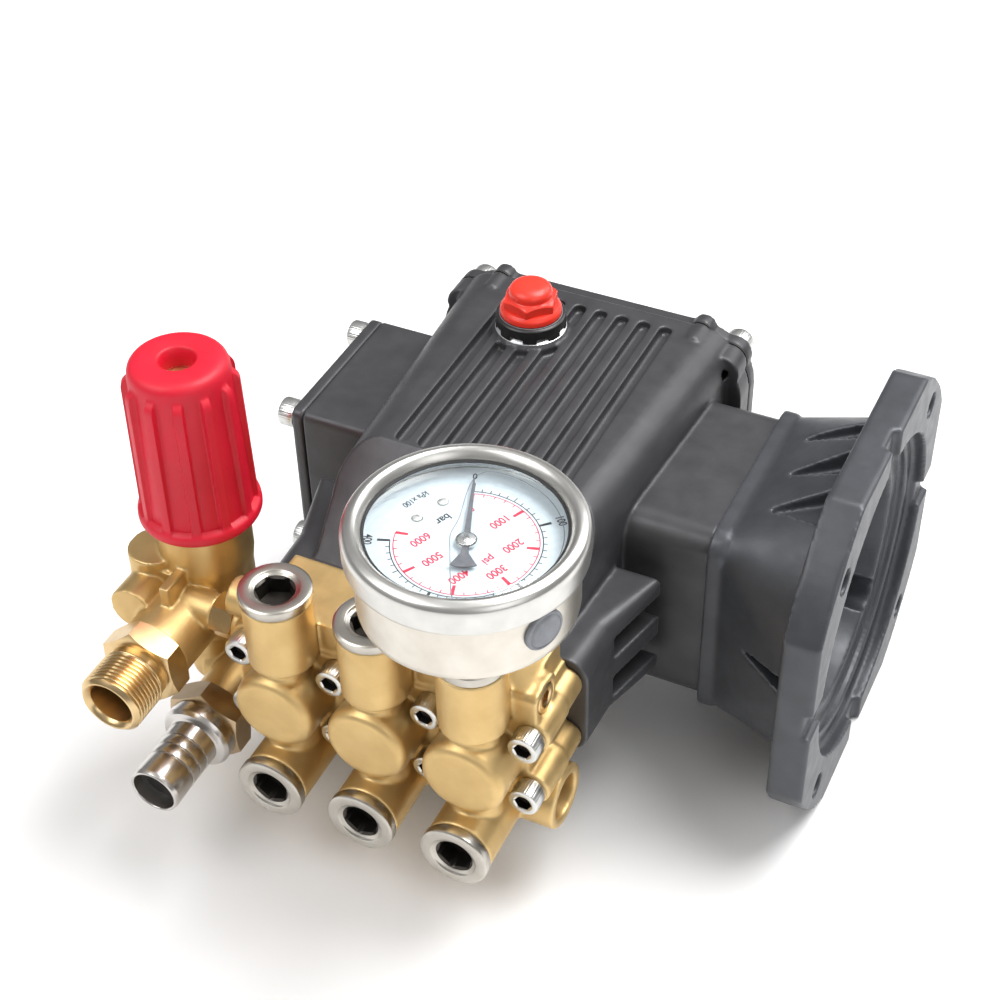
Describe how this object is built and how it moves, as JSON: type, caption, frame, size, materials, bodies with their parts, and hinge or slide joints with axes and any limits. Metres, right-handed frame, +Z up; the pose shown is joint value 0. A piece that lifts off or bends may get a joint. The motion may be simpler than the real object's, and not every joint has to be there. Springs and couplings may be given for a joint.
{
  "type": "pressure washer pump",
  "caption": "Three-plunger crankshaft pump with a brass valve head, adjustable unloader knob, glycerine gauge, hose-barb inlet, threaded outlet and a square engine flange.",
  "frame": {"origin": "centre of the engine flange's mating face, on the shaft axis", "axes": "+X along the shaft and out of the engine flange, -Y towards the valve head and outlets, +Z up"},
  "size_m": [0.2235, 0.2197, 0.162],
  "materials": {
    "case_black": "satin black die-cast aluminium",
    "bell_grey": "satin blue-grey die-cast aluminium",
    "brass_cast": "bead-blasted forged brass",
    "brass_turned": "bright turned brass",
    "bronze": "dark turned bronze",
    "zinc_steel": "zinc-plated steel",
    "nickel_steel": "nickel-plated steel",
    "stainless": "polished stainless steel",
    "shaft_steel": "ground steel",
    "rod_alloy": "forged aluminium",
    "ceramic": "polished white ceramic",
    "red_plastic": "glossy red plastic",
    "orange_plastic": "glossy orange-red plastic",
    "black_plastic": "black plastic",
    "black_rubber": "black rubber",
    "grey_rubber": "grey rubber",
    "clear_glass": "clear",
    "dial_white": "white enamel",
    "pointer_black": "black enamel"
  },
  "bodies": {
    "root": {"cover_screws": "zinc_steel", "crankcase": "case_black", "drain_plug": "zinc_steel", "end_plug": "brass_turned", "engine_flange": "bell_grey", "flange_bearing": "shaft_steel", "flange_screws": "zinc_steel", "gauge_adaptor": "nickel_steel", "gauge_bezel": "stainless", "gauge_case": "stainless", "gauge_dial": "dial_white", "gauge_fill_plug": "grey_rubber", "gauge_glass": "clear_glass", "hose_barb": "stainless", "inlet_elbow": "brass_cast", "inlet_nut": "bronze", "manifold": "brass_cast", "manifold_screws": "zinc_steel", "oil_filler_collar": "black_plastic", "oil_seals": "black_rubber", "outlet_nipple": "brass_turned", "packing_glands": "brass_turned", "packings": "black_rubber", "rear_cover": "case_black", "rear_cover_gasket": "black_rubber", "shaft_seal": "black_rubber", "side_bearing": "shaft_steel", "side_cover": "case_black", "sight_glass": "clear_glass", "unloader_body": "brass_cast", "unloader_nut": "brass_turned", "unloader_spring": "stainless", "valve_caps": "nickel_steel", "valve_seats": "stainless", "valve_springs": "stainless"},
    "crank": {"crankshaft": "shaft_steel"},
    "rod_1": {"connecting_rod_1": "rod_alloy"},
    "carrier_1": {"gallery_plug_1": "shaft_steel"},
    "slider_1": {"crosshead_1": "shaft_steel", "plunger_1": "ceramic"},
    "outlet_poppet_1": {"outlet_valve_poppet_1": "stainless"},
    "inlet_poppet_1": {"inlet_valve_poppet_1": "stainless"},
    "rod_2": {"connecting_rod_2": "rod_alloy"},
    "carrier_2": {"gallery_plug_2": "shaft_steel"},
    "slider_2": {"crosshead_2": "shaft_steel", "plunger_2": "ceramic"},
    "outlet_poppet_2": {"outlet_valve_poppet_2": "stainless"},
    "inlet_poppet_2": {"inlet_valve_poppet_2": "stainless"},
    "rod_3": {"connecting_rod_3": "rod_alloy"},
    "carrier_3": {"gallery_plug_3": "shaft_steel"},
    "slider_3": {"crosshead_3": "shaft_steel", "plunger_3": "ceramic"},
    "outlet_poppet_3": {"outlet_valve_poppet_3": "stainless"},
    "inlet_poppet_3": {"inlet_valve_poppet_3": "stainless"},
    "pressure_seat": {"unloader_spring_seat": "brass_turned"},
    "knob": {"unloader_knob": "red_plastic"},
    "piston": {"unloader_piston": "stainless"},
    "pointer": {"gauge_pointer": "pointer_black"},
    "oil_cap": {"oil_filler_cap": "orange_plastic"}
  },
  "joints": [
    {"name": "crank_spin", "type": "hinge", "parent": "root", "child": "crank", "pos_m": [0, 0, 0], "axis": [1, 0, 0], "continuous": true},
    {"name": "rod_1_level", "type": "hinge", "parent": "crank", "child": "rod_1", "pos_m": [-0.1535, 0.0033, 0], "axis": [1, 0, 0], "continuous": true},
    {"name": "carrier_1_spin", "type": "hinge", "parent": "crank", "child": "carrier_1", "pos_m": [-0.188, 0.00165, 0], "axis": [1, 0, 0], "continuous": true},
    {"name": "plunger_1_stroke", "type": "hinge", "parent": "carrier_1", "child": "slider_1", "pos_m": [-0.1535, 0.0033, 0], "axis": [1, 0, 0], "continuous": true},
    {"name": "outlet_valve_1_lift", "type": "slide", "parent": "root", "child": "outlet_poppet_1", "axis": [0, 0, 1], "range_m": [0, 0.002], "stiffness_N_per_m": 600, "deforming": ["valve_springs"]},
    {"name": "inlet_valve_1_lift", "type": "slide", "parent": "root", "child": "inlet_poppet_1", "axis": [0, -1, 0], "range_m": [0, 0.002], "stiffness_N_per_m": 600, "deforming": ["valve_springs"]},
    {"name": "rod_2_level", "type": "hinge", "parent": "crank", "child": "rod_2", "pos_m": [-0.121, -0.00165, 0.00286], "axis": [1, 0, 0], "continuous": true},
    {"name": "carrier_2_spin", "type": "hinge", "parent": "crank", "child": "carrier_2", "pos_m": [-0.188, -0.00082, 0.00143], "axis": [1, 0, 0], "continuous": true},
    {"name": "plunger_2_stroke", "type": "hinge", "parent": "carrier_2", "child": "slider_2", "pos_m": [-0.121, -0.00165, 0], "axis": [1, 0, 0], "continuous": true},
    {"name": "outlet_valve_2_lift", "type": "slide", "parent": "root", "child": "outlet_poppet_2", "axis": [0, 0, 1], "range_m": [0, 0.002], "stiffness_N_per_m": 600, "deforming": ["valve_springs"]},
    {"name": "inlet_valve_2_lift", "type": "slide", "parent": "root", "child": "inlet_poppet_2", "axis": [0, -1, 0], "range_m": [0, 0.002], "stiffness_N_per_m": 600, "deforming": ["valve_springs"]},
    {"name": "rod_3_level", "type": "hinge", "parent": "crank", "child": "rod_3", "pos_m": [-0.0885, -0.00165, -0.00286], "axis": [1, 0, 0], "continuous": true},
    {"name": "carrier_3_spin", "type": "hinge", "parent": "crank", "child": "carrier_3", "pos_m": [-0.188, -0.00082, -0.00143], "axis": [1, 0, 0], "continuous": true},
    {"name": "plunger_3_stroke", "type": "hinge", "parent": "carrier_3", "child": "slider_3", "pos_m": [-0.0885, -0.00165, 0], "axis": [1, 0, 0], "continuous": true},
    {"name": "outlet_valve_3_lift", "type": "slide", "parent": "root", "child": "outlet_poppet_3", "axis": [0, 0, 1], "range_m": [0, 0.002], "stiffness_N_per_m": 600, "deforming": ["valve_springs"]},
    {"name": "inlet_valve_3_lift", "type": "slide", "parent": "root", "child": "inlet_poppet_3", "axis": [0, -1, 0], "range_m": [0, 0.002], "stiffness_N_per_m": 600, "deforming": ["valve_springs"]},
    {"name": "spring_seat_travel", "type": "slide", "parent": "root", "child": "pressure_seat", "axis": [0, 0, 1], "range_m": [-0.0046, 0.0016], "deforming": ["unloader_spring"]},
    {"name": "knob_turn", "type": "hinge", "parent": "pressure_seat", "child": "knob", "pos_m": [-0.2005, -0.0855, 0.06], "axis": [0, 0, 1], "range_deg": [-1080, 360]},
    {"name": "unloader_piston_lift", "type": "slide", "parent": "root", "child": "piston", "axis": [0, 0, 1], "range_m": [0, 0.003], "stiffness_N_per_m": 4000, "deforming": ["unloader_spring"]},
    {"name": "pointer_swing", "type": "hinge", "parent": "root", "child": "pointer", "pos_m": [-0.0885, -0.117, 0.085], "axis": [0, 0, -1], "range_deg": [0, 270], "stiffness_Nm_per_rad": 0.0002},
    {"name": "oil_cap_lift", "type": "slide", "parent": "root", "child": "oil_cap", "axis": [0, 0, 1], "range_m": [0, 0.025]}
  ],
  "couplings": [
    {"joint": "rod_1_level", "follows": "crank_spin", "ratio": -1},
    {"joint": "carrier_1_spin", "follows": "crank_spin", "ratio": -2},
    {"joint": "plunger_1_stroke", "follows": "crank_spin", "ratio": 1},
    {"joint": "rod_2_level", "follows": "crank_spin", "ratio": -1},
    {"joint": "carrier_2_spin", "follows": "crank_spin", "ratio": -2},
    {"joint": "plunger_2_stroke", "follows": "crank_spin", "ratio": 1},
    {"joint": "rod_3_level", "follows": "crank_spin", "ratio": -1},
    {"joint": "carrier_3_spin", "follows": "crank_spin", "ratio": -2},
    {"joint": "plunger_3_stroke", "follows": "crank_spin", "ratio": 1},
    {"joint": "spring_seat_travel", "follows": "knob_turn", "m_per_rad": 0.00023873}
  ]
}
